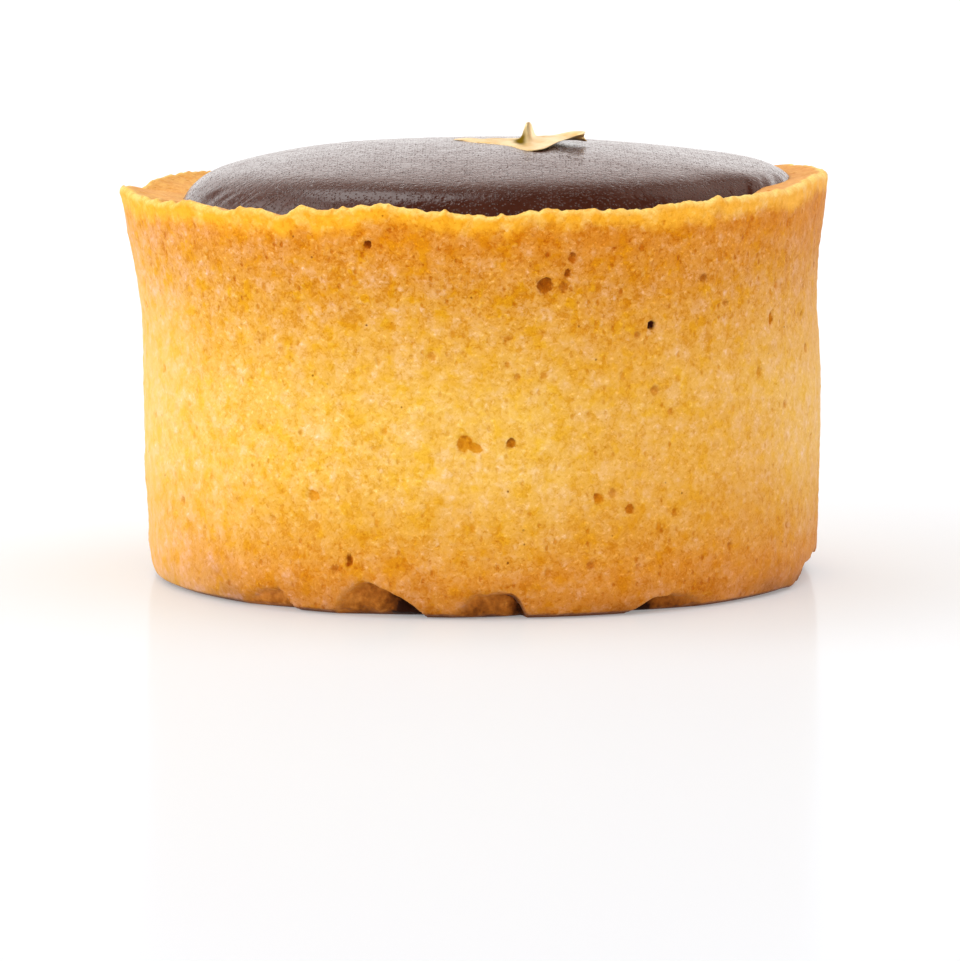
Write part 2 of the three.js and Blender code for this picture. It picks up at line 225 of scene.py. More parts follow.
def cup_reach(angle, radius):
    """Distance from the rim's middle to a circle about the cup's own axis."""
    return CUP_SHIFT * sine(angle) + np.sqrt(radius**2 - (CUP_SHIFT * np.cos(np.radians(angle))) ** 2)


def spot_share(angle, z, spots):
    """Share of the nearest oval spot on the wall, 1 in its middle, 0 on its edge and negative outside, and
    how dark that spot is: its own toast, with painted shade that darkens it towards its top."""
    share = np.full(np.broadcast_shapes(angle.shape, z.shape), -1.0)
    darkened = np.zeros_like(share)
    for at, height, width, tall, own in spots:
        across = np.radians(turn(angle, at)) * BODY_RADIUS * 2 / width
        near = 1 - np.hypot(across, (z - height) * 2 / tall)
        # Painted shade: the spot is darker towards its top, under its upper edge
        darkened = np.where(near > share, own + 0.15 * np.clip((z - height) * 2 / tall, -1, 1), darkened)
        share = np.maximum(share, near)
    return share, darkened


def steps(start, end, count):
    """A column of shares from start up to, and without, end."""
    return np.linspace(start, end, count, endpoint=False)[:, None]


def mouth_rise(angle):
    """How far the cup's mouth is raised: an eased step up to a flat top on the right and, less, a bell on
    the left, where the bevel lies almost flat."""
    right = RIGHT_RISE * ease(-np.abs(turn(angle, RIGHT_RISE_ANGLE)), -RIGHT_RISE_REACH, -RIGHT_RISE_FLAT)
    return right + LEFT_RISE * bell(turn(angle, LEFT_RISE_ANGLE), LEFT_RISE_SPREAD)


def crust_rows(angle):
    """Radius, height and drop below the rim's edge of every row of the crust: out along the underside, up the
    break and the wall, round the lip, down the bevel and the cup, and in along the cup's floor. The drop is
    negative inside the rim."""
    top = rim_height(angle)
    root = np.maximum(chip_form(angle)[0], CHIP_ROOT)
    edge = wall_radius(angle, top)
    mouth = CUP_MOUTH_HEIGHT + CUP_MOUTH_TILT * sine(angle) + mouth_rise(angle)
    heights = np.concatenate([
        steps(0, 1, 9) * (root - CHIP_EDGE),
        root + CHIP_EDGE * steps(-1, 1, 5),
        root + CHIP_EDGE + steps(0, 1, 108) * (top - LIP - root - CHIP_EDGE),
    ])
    under = steps(0.2, 1, 5) * wall_radius(angle, 0 * angle)
    arc = np.radians(steps(0, 90, 7))
    inward = steps(0, 1, 14)
    reach = cup_reach(angle, CUP_MOUTH_RADIUS)
    down = steps(0, 1, 5)
    floor = steps(1, 0.2, 3)
    radii = np.concatenate([
        under, wall_radius(angle, heights), edge - LIP * (1 - np.cos(arc)),
        (edge - LIP) * (1 - inward) + reach * inward,
        cup_reach(angle, CUP_MOUTH_RADIUS + (CUP_FLOOR_RADIUS - CUP_MOUTH_RADIUS) * down),
        floor * cup_reach(angle, CUP_FLOOR_RADIUS),
    ])
    levels = np.concatenate([
        0 * under, heights, top - LIP * (1 - np.sin(arc)), top * (1 - inward) + mouth * inward,
        mouth + (CUP_FLOOR - mouth) * down, np.full((len(floor), angle.size), CUP_FLOOR),
    ])
    inside = np.arange(len(radii))[:, None] >= len(under) + len(heights) + len(arc)
    drop = np.where(inside, -np.hypot(radii - edge + LIP, levels - top), top - levels)
    return radii, levels, drop


def turned_faces(rows, columns):
    """Faces of rings that close round the axis, and of the two fans that close them at their poles, whose
    points come after the rings."""
    corner = np.arange(rows * columns).reshape(rows, columns)
    beside = np.roll(corner, -1, axis=1)
    walls = np.stack([corner[:-1], beside[:-1], beside[1:], corner[1:]], axis=-1).reshape(-1, 4)
    first, last = np.full(columns, rows * columns), np.full(columns, rows * columns + 1)
    fans = np.concatenate([
        np.stack([first, beside[0], corner[0]], axis=-1), np.stack([last, corner[-1], beside[-1]], axis=-1),
    ])
    return walls.tolist() + fans.tolist()


def turned_points(angle, radii, levels):
    """Points of the rings, with the two poles after them."""
    rings = round_place(angle, radii, levels).reshape(-1, 3)
    return np.concatenate([rings, [[0, 0, levels[0].mean()], [0, 0, levels[-1].mean()]]])


def make_piece(name, points, faces, finish, node, paint=None):
    """A smooth mesh of these points that rides on the tartlet in place of a solid, with values painted on its
    points."""
    mesh = bpy.data.meshes.new(name)
    mesh.from_pydata(points * MM, [], faces, shade_flat=False)
    for title, values in (paint or {}).items():
        mesh.attributes.new(title, "FLOAT", "POINT").data.foreach_set("value", values.astype(np.float32))
    mesh.materials.append(finish)
    piece = bpy.data.objects.new(name, mesh)
    bpy.context.scene.collection.objects.link(piece)
    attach(piece, "root")
    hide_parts(node)


def make_crust(finish):
    """The crust: its rows at every angle, moved along their normals by lumps, pores, dimples and the grain
    of the breaks. The angles lie closer at the front, where most of the pores are: each is an even angle
    less a multiple of its own sine."""
    angle = np.arange(CRUST_COLUMNS) * 360 / CRUST_COLUMNS
    angle = (angle - CLOSER * sine(angle)) % 360
    radii, levels, drop = crust_rows(angle)
    chance = np.random.default_rng(5)
    unseen = np.column_stack([
        chance.uniform(58, 300, BACK_DIMPLES), chance.uniform(4, 32, BACK_DIMPLES),
        chance.uniform(0.6, 1.2, (BACK_DIMPLES, 2)), chance.uniform(0, 0.45, BACK_DIMPLES),
    ])
    place = round_place(angle, radii, levels)
    ragged = 0.35 * noise(place, 0.7, 6)
    chip_top, _, chip_soft, brown = chip_form(angle)
    chip = ease(chip_top - levels, -0.1 * chip_soft, 0.1 * chip_soft) * (levels > 0) * (drop > 5)
    # Painted shade: each break is darker towards its bottom
    brown = brown * (1.25 - 0.5 * np.clip(levels / np.maximum(chip_top, CHIP_ROOT), 0, 1))
    outside = ease(levels, 0.2, 1.5) * (drop > 0) * (1 - chip)
    pore, char = spot_share(angle, levels, PORES)
    dimple, tan = spot_share(angle, levels, np.concatenate([DIMPLES, unseen]))
    pore, dimple = pore + ragged, dimple + ragged
    lumps = 0.12 * noise(place, 5, 7) + 0.06 * noise(place, 1.7, 8) + 0.05 * noise(place, 0.8, 9)
    lumps = lumps + 0.04 * noise(place, 0.45, 14)
    pits = PORE_DEPTH * (0.4 + 0.6 * char) * ease(pore, -0.05, 0.5) + DIMPLE_DEPTH * ease(dimple, -0.05, 0.6)
    broken = 0.3 * noise(place, 1.9, 10) + 0.16 * noise(place, 0.9, 12)
    relief = outside * (lumps - pits) + chip * ease(levels, 0, 0.4) * broken
    # Painted side light and shade: darker towards the right front as painted shade, paler on the left as
    # painted light, with a random tone over both
    darkened = bell(turn(angle, SHADED_SIDE_ANGLE), SHADED_SIDE_SPREAD)
    toast = darkened - 0.9 * bell(turn(angle, LIT_SIDE_ANGLE), LIT_SIDE_SPREAD) + 0.5 * noise(place, 11, 11)
    along_r, along_z = np.gradient(radii, axis=0), np.gradient(levels, axis=0)
    length = np.hypot(along_r, along_z)
    moved_r, moved_z = radii + relief * along_z / length, levels - relief * along_r / length
    paint = {
        name: np.concatenate([values.ravel(), [0, 0]])
        for name, values in {
            "pore": pore, "char": char, "dimple": dimple, "tan": tan, "chip": chip, "brown": brown,
            "drop": drop, "toast": toast,
        }.items()
    }
    points = turned_points(angle, moved_r, moved_z)
    make_piece("crust_cup", points, turned_faces(*radii.shape), finish, "crust", paint)


def dome_height(angle, share):
    """Height of the filling's top: a broad crown, the square of the share, with a steep rounded edge, a
    high power of it, on the tilted and raised mouth of the cup."""
    level = CUP_MOUTH_HEIGHT - DOME_GAP + CUP_MOUTH_TILT * sine(angle) * share
    level = level + mouth_rise(angle) * share**DOME_RISE_POWER
    return level + DOME_CROWN * (1 - share**2) + DOME_ROLL * (1 - share**DOME_ROLL_POWER)


def dome_swell(place):
    """Gentle unevenness of the dome: two sizes of random waves, and a bell for a fuller left shoulder."""
    return 0.05 * noise(place, 9, 24) + 0.02 * noise(place, 3.5, 25) + 0.3 * bell(place[..., 0] + 15, 8)


def make_filling(finish):
    """The filling: the dome's height at every angle and share of its radius, folded by random waves
    where it meets the crust."""
    angle = np.arange(DOME_COLUMNS) * 360 / DOME_COLUMNS
    share = np.concatenate([1 - 0.12 * steps(0, 1, 48) ** 1.5, 0.88 * steps(1, 0.02, 62)])
    radii = np.concatenate([
        steps(0.3, 1, 4) * (CUP_FLOOR_RADIUS - DOME_GAP), CUP_FLOOR_RADIUS - DOME_GAP + steps(0, 1, 4) * 0.2,
        DOME_RADIUS * share,
    ])
    rim = dome_height(angle, np.ones(1))
    floor = CUP_FLOOR + DOME_GAP
    top = dome_height(angle, share)
    levels = np.concatenate([np.full((4, DOME_COLUMNS), floor), floor + steps(0, 1, 4) * (rim - floor), top])
    place = round_place(angle, radii, levels)
    ring = round_place(angle + 3 * (radii - 25.4), DOME_RADIUS, 0.0)
    wide, narrow = noise(ring, 2.2, 21), noise(ring, 1.0, 22)
    creased = bell(turn(angle, LEFT_FOLDS_ANGLE), LEFT_FOLDS_SPREAD)
    creased = creased + 0.25 * bell(turn(angle, RIGHT_FOLDS_ANGLE), RIGHT_FOLDS_SPREAD)
    folds = ease(noise(ring, 14, 23), -0.35, 0.35) * 0.1 * (wide + narrow)
    folds = folds + creased * (0.22 * wide + 0.5 * narrow)
    near_edge = ease(radii, 25.2, 26.8) * ease(27.3 - radii, 0, 0.4) * (levels > rim - 0.01)
    levels = levels + np.where(levels > rim, dome_swell(place), 0) + folds * near_edge
    points = turned_points(angle, radii, levels) + (DOME_SHIFT, 0, 0)
    make_piece("glazed_dome", points, turned_faces(len(radii), DOME_COLUMNS), finish, "filling")


def grid_faces(corner):
    """Faces between the neighbours in a grid of point numbers."""
    corners = [corner[:-1, :-1], corner[:-1, 1:], corner[1:, 1:], corner[1:, :-1]]
    return np.stack(corners, axis=-1).reshape(-1, 4)


def sheet_faces(rows, columns):
    """Faces of two alike grids, the second one under the first, and of the band round their border."""
    upper = np.arange(rows * columns).reshape(rows, columns)
    top = grid_faces(upper)
    border = np.concatenate([upper[0, :-1], upper[:-1, -1], upper[-1, :0:-1], upper[:0:-1, 0]])
    ahead = np.roll(border, -1)
    count = rows * columns
    band = np.stack([border, border + count, ahead + count, ahead], axis=-1)
    return np.concatenate([top, top[:, ::-1] + count, band]).tolist()


def make_leaf(finish):
    """The gold leaf: a torn strip laid on the dome, widest at its belly and slanted at its left, with sine
    ripples and random creases, a bell of a lobe to the front, a narrow bell that pinches it up to a tip, and
    a step that lifts both edges of its right end."""
    across, along = np.meshgrid(np.linspace(-1, 1, 181), np.linspace(-1, 1, 101))
    flat = np.stack([across * LEAF_WIDTH, along * LEAF_DEPTH, 0 * across], axis=-1) / 2
    torn = 1 + 0.16 * noise(flat, 1.1, 31) * np.abs(along) ** 3
    belly = bell(across - LEAF_BELLY, LEAF_BELLY_SPREAD)
    half = LEAF_DEPTH / 2 * (LEAF_TAIL + (1 - LEAF_TAIL) * belly) * torn * (1 - 0.6 * np.abs(across) ** 12)
    lobe = LEAF_LOBE * bell(across - 0.22, 0.24) * np.maximum(-along, 0)
    x = LEAF_X + LEAF_WIDTH / 2 * (across + 0.07 * noise(flat, 1.3, 32) * np.abs(across) ** 4)
    y = LEAF_Y + along * half + 0.6 * np.sin(4 * across) + LEAF_SLANT * np.maximum(-across, 0) - lobe
    inner = 1 - np.maximum(np.abs(along), np.abs(across)) ** 6
    ripple = 0.04 * (1 + np.sin(9 * across + 2 * along) * np.cos(5 * along)) * inner
    creases = (0.09 * np.abs(noise(flat, 2.1, 33)) + 0.05 * np.abs(noise(flat, 0.9, 34))) * inner
    twist = np.abs(across - 0.13 - 0.05 * (along - 0.2)) / 0.085
    pinch = 1.35 * np.exp(-(twist**3)) * bell(along - 0.25, 0.35)
    pinch = pinch + 0.25 * bell(across - 0.1, 0.2) * bell(along, 0.6)
    corner = ease(across, 0.35, 1) * (0.12 + 0.72 * along**2) + 0.22 * ease(across, 0.05, 0.45)
    reach = np.hypot(x - DOME_SHIFT, y) / DOME_RADIUS
    around = np.degrees(np.arctan2(x - DOME_SHIFT, -y))
    dome = dome_height(around, reach)
    dome = dome + dome_swell(np.stack([x - DOME_SHIFT, y, dome], axis=-1))
    under = np.stack([x, y, dome - 0.03 + ripple + creases + pinch + corner], axis=-1).reshape(-1, 3)
    points = np.concatenate([under + (0, 0, LEAF_THICKNESS), under])
    # Painted shade of a fold: a dark spot in front of the leaf's tip
    tear = (bell(across, 0.12) * bell(along + 0.3, 0.5) + 0.15 * noise(flat, 0.8, 35)).ravel()
    paint = {"tear": np.concatenate([tear, tear])}
    make_piece("gold_flake", points, sheet_faces(*across.shape), finish, "gold_leaf", paint)


class Wire:
    """One output of a node. Arithmetic on it adds Math nodes to its tree."""

    def __init__(self, tree, output=None):
        self.tree = tree
        self.output = output

    def node(self, kind, settings, inputs, output=0):
        """Adds a node of this kind and gives one of its outputs. The settings come first, a ramp's stops
        among them, then the inputs, each a value or another wire, by name or number."""
        made = self.tree.nodes.new("ShaderNode" + kind)
        for name, value in settings.items():
            if name == "stops":
                stops = made.color_ramp.elements
                for place, colour in value[1:-1]:
                    stops.new(place).color = colour
                stops[0].position, stops[0].color = value[0]
                stops[-1].position, stops[-1].color = value[-1]
            else:
                setattr(made, name, value)
        for name, value in inputs.items():
            if isinstance(value, Wire):
                self.tree.links.new(value.output, made.inputs[name])
            else:
                made.inputs[name].default_value = value
        return Wire(self.tree, made.outputs[output])

    def math(self, operation, *values):
        """A Math node on these values."""
        return self.node("Math", {"operation": operation}, dict(enumerate(values)))

    def __add__(self, other):
        return self.math("ADD", self, other)

    def __sub__(self, other):
        return self.math("SUBTRACT", self, other)

    def __rsub__(self, other):
        return self.math("SUBTRACT", other, self)

    def __mul__(self, other):
        return self.math("MULTIPLY", self, other)

    __radd__ = __add__
    __rmul__ = __mul__


def painted(place, title):
    """A value painted on the piece's points."""
    return place.node("Attribute", {"attribute_name": title}, {}, "Fac")


def grain(place, size, detail=2.0, rough=0.5):
    """Cloudy noise from 0 to 1 with clouds of this size in millimetres."""
    inputs = {"Vector": place, "Scale": 1 / (size * MM), "Detail": detail, "Roughness": rough}
    return place.node("TexNoise", {}, inputs)


def between(value, low, high):
    """Smooth step of a value from 0 at low to 1 at high."""
    return value.node("MapRange", {"interpolation_type": "SMOOTHSTEP"},
                      {"Value": value, "From Min": low, "From Max": high})


def mixed(share, first, second, blend="MIX"):
    """The first colour, turning into the second, or blended with it, where the share is 1."""
    return share.node("Mix", {"data_type": "RGBA", "blend_type": blend}, {0: share, 6: first, 7: second}, 2)


def ramp(value, stops):
    """The colour of these stops at a value from 0 to 1."""
    return value.node("ValToRGB", {"stops": stops}, {"Fac": value})


def ruffled(place, size, reach):
    """Object coordinates shaken by cloudy noise of this size, by up to this reach in millimetres."""
    shake = place.node("TexNoise", {}, {"Vector": place, "Scale": 1 / (size * MM), "Detail": 2.0}, "Color")
    shake = place.node("VectorMath", {"operation": "SUBTRACT"}, {0: shake, 1: (0.5, 0.5, 0.5)})
    spread = (2 * reach * MM,) * 3
    return place.node("VectorMath", {"operation": "MULTIPLY_ADD"}, {0: shake, 1: spread, 2: place})


def lit_from_above(place, size):
    """More than 0 where cloudy relief of this size in millimetres faces up, and less than 0 where it faces
    down: the relief here less the relief a little higher."""
    higher = place.node("VectorMath", {"operation": "ADD"}, {0: place, 1: (0, 0, 0.3 * size * MM)})
    return grain(place, size, 2.0, 0.6) - grain(higher, size, 2.0, 0.6)


def blobs(place, size, edge, chance):
    """Blobs on a scattered lattice of this size: a share of 1 in the middle of each, falling to 0 at this
    share of the size, and only in some of its cells, some of them stronger than others."""
    inputs = {"Vector": place, "Scale": 1 / (size * MM), "Randomness": 1.0}
    far = place.node("TexVoronoi", {}, inputs, "Distance")
    tint = Wire(place.tree, far.output.node.outputs["Color"])
    cell = place.node("SeparateColor", {}, {"Color": tint}, "Red")
    return between(far, edge, edge * 0.3) * between(cell, 1 - chance, 1.0)


# Colours of the crust up its wall, by height in millimetres
BAKE = (
    (0.0, (0.37, 0.136, 0.026, 1)), (1.2, (0.57, 0.216, 0.031, 1)), (3.5, (0.70, 0.284, 0.034, 1)),
    (8.0, (0.79, 0.400, 0.049, 1)), (12.0, (0.87, 0.500, 0.090, 1)), (18.0, (0.87, 0.508, 0.090, 1)),
    (24.0, (0.80, 0.412, 0.062, 1)), (28.5, (0.72, 0.319, 0.041, 1)), (33.0, (0.71, 0.255, 0.017, 1)),
)
BAKE_TOP = 36.0

# Other colours of the crust, mixed in: its own colours, painted light and shade on its sides, the lip's
# painted glow and highlight, and the breaks' brown with painted shade
SHADED_SIDE_AMBER = (0.66, 0.225, 0.020, 1)
LIT_SIDE_GOLD = (0.97, 0.63, 0.24, 1)
# The lip's painted glow, and its paler colour, used for pale patches and for painted highlights
LIP_GLOW = (0.99, 0.46, 0.021, 1)
LIP_PALE_AND_HIGHLIGHT = (1.0, 0.80, 0.27, 1)
BEVEL_PEACH = (0.84, 0.37, 0.075, 1)
BEVEL_PALE = (0.96, 0.54, 0.15, 1)
# Broken crust: brown at its pale end, turning into painted shade, near black, deep in the cavity
BREAK_TONE_AND_SHADE = (
    (0.0, (0.68, 0.27, 0.045, 1)), (0.3, (0.40, 0.13, 0.015, 1)), (0.6, (0.20, 0.055, 0.006, 1)),
    (0.9, (0.03, 0.008, 0.003, 1)),
)

# Tints of the crust, multiplied in: its own mottling, and painted light and shade: sheen on the right,
# highlights and shade on crumbs, glints, and shade on the bevel and at the foot
RIGHT_SHEEN = (0.955, 0.985, 1.55, 1)
DEEP = (0.98, 0.90, 0.14, 1)
PEACH = (1.03, 1.13, 2.20, 1)
SHADE = (0.86, 0.70, 0.22, 1)
TINT = (1.08, 1.18, 1.60, 1)
FLECK = (1.10, 1.24, 2.1, 1)
LIT = (1.22, 1.40, 2.1, 1)
UNLIT = (0.82, 0.64, 0.14, 1)
GLINT = (1.2, 1.4, 2.4, 1)
RIGHT_BEVEL_SHADE = (0.90, 0.86, 0.90, 1)
DOT = (0.79, 0.56, 0.12, 1)
DENT = (0.84, 0.62, 0.12, 1)
PRICK = (0.4, 0.25, 0.1, 1)
FOOT_SHADE = (0.30, 0.17, 0.10, 1)
PORE = (
    (0.0, (0.90, 0.68, 0.17, 1)), (0.3, (0.74, 0.47, 0.07, 1)), (0.6, (0.44, 0.26, 0.06, 1)),
    (1.0, (0.06, 0.02, 0.05, 1)),
)

# Colours of the glaze, the gold leaf and the table
GLAZE_DARK, GLAZE_LIGHT = (0.046, 0.012, 0.006, 1), (0.064, 0.018, 0.009, 1)
LEAF_PALE, LEAF_YELLOW, LEAF_CREASE_SHADE = (1.0, 0.80, 0.42, 1), (0.96, 0.68, 0.27, 1), (0.16, 0.10, 0.005, 1)
TABLE_DARK, TABLE_LIGHT = (0.605, 0.652, 0.69, 1), (0.615, 0.662, 0.70, 1)


def golden_shortcrust(place):
    """Baked shortcrust: golden by height, mottled by clouds, crumbs and small dents, with toasted pores and
    brown breaks, and painted light and shade: a shaded side and a lit side, a glowing lip with a highlight
    on its crest, sheen on the right, highlights, shade and glints on its crumbs, shade on the right bevel,
    and shade at its foot, at the tops of its pores and deep in its breaks."""
    up = place.node("SeparateXYZ", {}, {"Vector": place}, "Z") * (1 / MM)
    side = place.node("SeparateXYZ", {}, {"Vector": place}, "X") * (1 / MM)
    # Masks of the right side: painted light on its lip and crest, painted shade on its bevel, and painted
    # sheen on the far right of its wall
    right, right_sheen = between(side, 5.0, 26.0), between(side, 16.0, 31.0)
    drop, toast = painted(place, "drop"), painted(place, "toast")
    patches, clouds, fine = grain(place, 6.0), grain(place, 1.6), grain(place, 0.45)
    shaken, stirred = ruffled(place, 0.6, 0.4), ruffled(place, 0.25, 0.14)
    pale, crumbs = grain(shaken, 1.5, 2.0, 0.6), grain(shaken, 1.2, 3.0, 0.95)
    flecks, lit = blobs(stirred, 0.6, 0.6, 0.7), lit_from_above(stirred, 0.5)
    drawn = place.node("VectorMath", {"operation": "MULTIPLY"}, {0: stirred, 1: (1.0, 1.0, 0.65)})
    dots, dents = blobs(drawn, 0.7, 0.32, 0.75), blobs(drawn, 1.6, 0.22, 0.6)
    pricks, glints = blobs(place, 1.5, 0.09, 0.4), blobs(stirred, 0.9, 0.2, 0.6)
    baked = between(up + (patches - 0.5) * 5, 20.0, 31.0)
    height = up + (patches - 0.5) * 4 + (clouds - 0.5) * 1.5
    stops = [(level / BAKE_TOP, colour) for level, colour in BAKE]
    colour = ramp(height * (1 / BAKE_TOP), stops)
    # Painted shade on the darker side, and painted light on the paler side
    colour = mixed(between(toast, 0.0, 1.1) * 0.3, colour, SHADED_SIDE_AMBER)
    colour = mixed(between(toast, -0.1, -1.0) * 0.46, colour, LIT_SIDE_GOLD)
    # Painted glow: the thin lip is painted bright yellow where light shines through it, with pale patches,
    # and paler on the right as painted light
    lip = between(drop + (clouds - 0.5) * 1.4 + (patches - 0.5) * 2, 2.3, 0.8) * between(drop, -0.3, 0.1)
    lip_colour = mixed(between(pale, 0.45, 0.7) * 0.3 + right * 0.08, LIP_GLOW, LIP_PALE_AND_HIGHLIGHT)
    colour = mixed(lip * 0.9, colour, lip_colour)
    # Painted sheen: the far right of the wall paler and bluer
    colour = mixed(right_sheen, colour, RIGHT_SHEEN, "MULTIPLY")
    strong = (0.7 + baked * 0.5 + between(up, 10.0, 5.0) * 0.2) * (1 - lip * 0.5) * (1 - right_sheen * 0.35)
    strong = strong * (0.7 + between(toast, -1.0, -0.2) * 0.3)
    sharp = strong * (0.4 + between(toast, -1.0, 0.1) * 0.6)
    colour = mixed(between(pale, 0.5, 0.32) * strong * (1 - lip), colour, DEEP, "MULTIPLY")
    colour = mixed(between(pale, 0.5, 0.68) * strong * (1 - lip), colour, PEACH, "MULTIPLY")
    colour = mixed(between(crumbs, 0.5, 0.36) * sharp, colour, SHADE, "MULTIPLY")
    colour = mixed(between(crumbs, 0.5, 0.64) * sharp, colour, TINT, "MULTIPLY")
    colour = mixed(flecks * sharp, colour, FLECK, "MULTIPLY")
    colour = mixed(between(lit, 0.06, 0.24) * sharp, colour, LIT, "MULTIPLY")
    colour = mixed(between(lit, -0.06, -0.24) * sharp, colour, UNLIT, "MULTIPLY")
    # Painted glints: small bright specks standing in for light caught by crumbs
    colour = mixed(glints * sharp, colour, GLINT, "MULTIPLY")
    # Painted highlight along the crest of the rim, stronger on the right
    edge = 0.3 + between(crumbs, 0.45, 0.6) * 0.45 + right * 0.2
    colour = mixed(between(drop, 0.6, 0.0) * edge, colour, LIP_PALE_AND_HIGHLIGHT)
    bevel = mixed(between(crumbs, 0.35, 0.65), BEVEL_PEACH, BEVEL_PALE)
    # Painted shade: the bevel darker on the right
    colour = mixed(between(drop, 0.0, -0.5), colour, mixed(right, bevel, RIGHT_BEVEL_SHADE, "MULTIPLY"))
    colour = mixed(dots * sharp, colour, DOT, "MULTIPLY")
    colour = mixed(dents * strong, colour, DENT, "MULTIPLY")
    frayed = fine - 0.5
    hollow = between(painted(place, "pore") + frayed * (1 - painted(place, "char") * 0.7), -0.05, 0.3)
    shallow = between(painted(place, "dimple") + frayed, -0.1, 0.5)
    # Toast of the pores and dimples, with painted shade towards their tops
    tan, char = painted(place, "tan") + frayed * 0.4, painted(place, "char") + frayed * 0.9
    colour = mixed(shallow * 0.65, colour, ramp(tan, PORE), "MULTIPLY")
    colour = mixed(pricks, colour, PRICK, "MULTIPLY")
    colour = mixed(hollow, colour, ramp(char, PORE), "MULTIPLY")
    # Painted shade: the foot darkened where the crust meets the table
    colour = mixed(between(up + frayed * 0.5, 0.6, 0.15) * 0.85, colour, FOOT_SHADE, "MULTIPLY")
    # Brown of the breaks, with painted shade deep in them and towards their bottom
    brown = painted(place, "brown") + (clouds - 0.5) * 0.9 + frayed * 0.6
    colour = mixed(painted(place, "chip"), colour, ramp(brown, BREAK_TONE_AND_SHADE))
    relief = crumbs + fine * 0.3 + flecks * 0.4 - dots * 0.5 - dents * 0.6 - pricks
    relief = relief * sharp - between(drop, 2.2, -2.2) * 6
    bump = place.node("Bump", {}, {"Strength": 0.6, "Distance": 0.25 * MM, "Height": relief})
    return place.node("BsdfPrincipled", {}, {
        "Base Color": colour, "Roughness": 0.55 + fine * 0.25, "Normal": bump, "Specular IOR Level": 0.05,
        "Sheen Weight": 0.08, "Sheen Roughness": 0.4,
    })


def satin_glaze(place):
    """Chocolate-brown glaze: satin, with a skin of very fine pits."""
    skin, broad = grain(place, 0.55, 3.0), grain(place, 2.4)
    pits, pinholes = blobs(place, 0.6, 0.42, 0.6), blobs(place, 0.23, 0.5, 0.75)
    colour = mixed(broad, GLAZE_DARK, GLAZE_LIGHT)
    height = skin * 0.45 - pits * 0.35 - pinholes * 0.9
    bump = place.node("Bump", {}, {"Strength": 1.0, "Distance": 0.1 * MM, "Height": height})
    return place.node("BsdfPrincipled", {}, {
        "Base Color": colour, "Roughness": 0.1 + broad * 0.18 + pinholes * 0.3, "Normal": bump, "IOR": 1.57,
    })


def beaten_gold(place):
    """Beaten gold: bright pale metal with fine creases and thin spots that go deeper yellow, and a dark, dull
    spot of painted shade in a fold.
    """
    creases, thin = grain(place, 0.7, 4.0), grain(place, 2.0)
    colour = mixed(between(thin, 0.35, 0.7), LEAF_PALE, LEAF_YELLOW)
    # Painted shade of a fold: a dark, dull spot
    torn = between(painted(place, "tear"), 0.1, 0.9)
    colour = mixed(torn, colour, LEAF_CREASE_SHADE)
    bump = place.node("Bump", {}, {"Strength": 0.5, "Distance": 0.12 * MM, "Height": creases})
    return place.node("BsdfPrincipled", {}, {
        "Base Color": colour, "Metallic": 0.8 - torn * 0.8, "Roughness": 0.24 + creases * 0.2 + torn * 0.3,
        "Normal": bump, "Specular IOR Level": 0.0,
    })


def white_surface(place):
    """White table that glows a little and has a faint gloss."""
    colour = mixed(grain(place, 300.0), TABLE_DARK, TABLE_LIGHT)
    return place.node("BsdfPrincipled", {}, {
        "Base Color": colour, "Roughness": 0.14, "IOR": 1.03,
        "Emission Color": (1, 1, 1, 1), "Emission Strength": 0.24,
    })


def make_finish(build):
    """A material from a function that builds its shader on Object coordinates."""
    material = bpy.data.materials.new(build.__name__)
    material.use_nodes = True
    material.node_tree.nodes.clear()
    place = Wire(material.node_tree).node("TexCoord", {}, {}, "Object")
    output = material.node_tree.nodes.new("ShaderNodeOutputMaterial")
    material.node_tree.links.new(build(place).output, output.inputs["Surface"])
    return material


def make_floor():
    """A square grid far wider than the view."""
    line = np.linspace(-FLOOR_REACH, FLOOR_REACH, FLOOR_POINTS)
    across, along = np.meshgrid(line, line)
    faces = grid_faces(np.arange(across.size).reshape(across.shape))
    mesh = bpy.data.meshes.new("floor")
    mesh.from_pydata(np.stack([across, along, 0 * across], axis=-1).reshape(-1, 3), [], faces.tolist())
    mesh.materials.append(make_finish(white_surface))
    floor = bpy.data.objects.new("floor", mesh)
    bpy.context.scene.collection.objects.link(floor)


def make_softbox():
    """A square soft light at the left that faces the middle of the tartlet."""
    lamp = bpy.data.lights.new("left_softbox", "AREA")
    lamp.size, lamp.energy = SOFTBOX_WIDTH, SOFTBOX_POWER
    light = bpy.data.objects.new("left_softbox", lamp)
    light.location = SOFTBOX_PLACE
    light.rotation_euler = (Vector(SOFTBOX_AIM) - light.location).to_track_quat("-Z", "Y").to_euler()
    bpy.context.scene.collection.objects.link(light)


def make_ceiling_light():
    """Even soft light from above, tilted to come a little from the right, which no surface mirrors."""
    lamp = bpy.data.lights.new("ceiling_light", "SUN")
    lamp.energy, lamp.angle = CEILING_STRENGTH, math.radians(CEILING_SPREAD)
    light = bpy.data.objects.new("ceiling_light", lamp)
    light.rotation_euler = (0, math.radians(CEILING_TILT), 0)
    light.visible_glossy = False
    bpy.context.scene.collection.objects.link(light)


# Colours of the room, from its white walls to its dim ceiling, how strong they are, and the direction and the
# cosines of the outer and inner edge of that ceiling
ROOM = (
    (0.0, (1.19, 1.16, 1.15, 1)), (0.2, (1.25, 1.16, 1.13, 1)), (0.36, (0.73, 0.61, 0.57, 1)),
    (0.55, (0.40, 0.305, 0.27, 1)), (0.75, (0.19, 0.14, 0.12, 1)), (1.0, (0.02, 0.013, 0.01, 1)),
)
ROOM_STRENGTH, DIM_CENTRE, DIM_OUTER, DIM_INNER = 1.26, (0.26, 0.05, 0.964), 0.2, 0.93

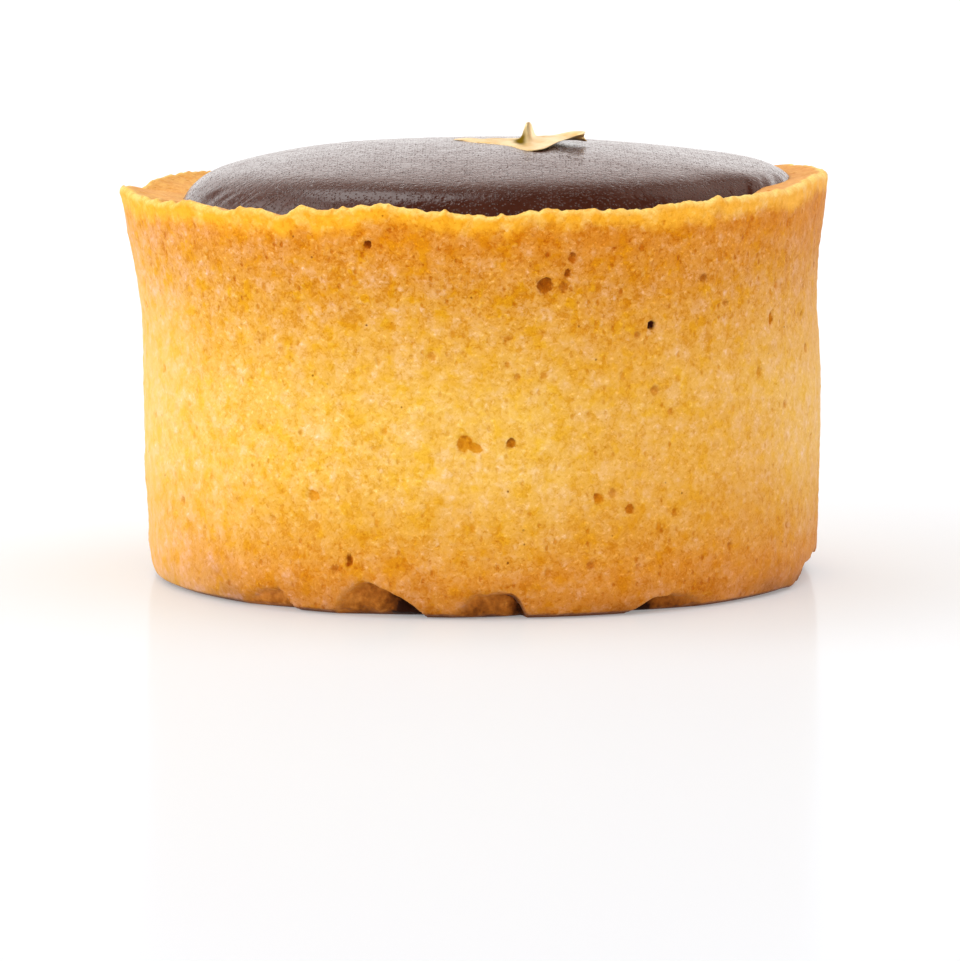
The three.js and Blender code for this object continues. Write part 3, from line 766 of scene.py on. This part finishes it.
# Lights and shades of the room: direction, cosines of the outer and inner edge, colour
PANELS = (
    ((-0.31, 0.37, 0.875), 0.935, 0.995, (2.0, 2.0, 2.0, 1)),
    ((0.55, 0.53, 0.645), 0.92, 0.99, (0.58, 0.46, 0.41, 1)),
    ((-0.62, 0.52, 0.59), 0.95, 0.995, (0.40, 0.30, 0.26, 1)),
)


def facing(way, centre, far, near):
    """A share of 1 for directions close to a centre, falling to 0 away from it, between two cosines."""
    cosine = way.node("VectorMath", {"operation": "DOT_PRODUCT"}, {0: way, 1: centre}, "Value")
    return between(cosine, far, near)


def make_world():
    """White light from all round, with a dim ceiling to the right of straight up, and lights and shades round
    it."""
    world = bpy.data.worlds.new("white_room")
    world.use_nodes = True
    tree = world.node_tree
    way = Wire(tree).node("TexCoord", {}, {}, "Generated")
    dim = way.node("VectorMath", {"operation": "DOT_PRODUCT"}, {0: way, 1: DIM_CENTRE}, "Value")
    dim = dim.node("MapRange", {}, {"Value": dim, "From Min": DIM_OUTER, "From Max": DIM_INNER})
    colour = ramp(dim, ROOM)
    for centre, far, near, tint in PANELS:
        colour = mixed(facing(way, centre, far, near), colour, tint)
    tree.links.new(colour.output, tree.nodes["Background"].inputs["Color"])
    tree.nodes["Background"].inputs["Strength"].default_value = ROOM_STRENGTH
    bpy.context.scene.world = world


def make_camera():
    """A long lens low in front of the tartlet, tipped down a little."""
    lens = bpy.data.cameras.new("camera")
    lens.sensor_fit = "HORIZONTAL"
    lens.lens = CAMERA_FOCUS * lens.sensor_width
    camera = bpy.data.objects.new("camera", lens)
    camera.location = Vector(CAMERA_PLACE) * MM
    camera.rotation_euler = (math.radians(90 - CAMERA_PITCH), 0, 0)
    bpy.context.scene.collection.objects.link(camera)
    bpy.context.scene.camera = camera


make_crust(make_finish(golden_shortcrust))
make_filling(make_finish(satin_glaze))
make_leaf(make_finish(beaten_gold))
make_floor()
make_world()
make_softbox()
make_ceiling_light()
make_camera()
bpy.context.scene.view_settings.view_transform = "Standard"
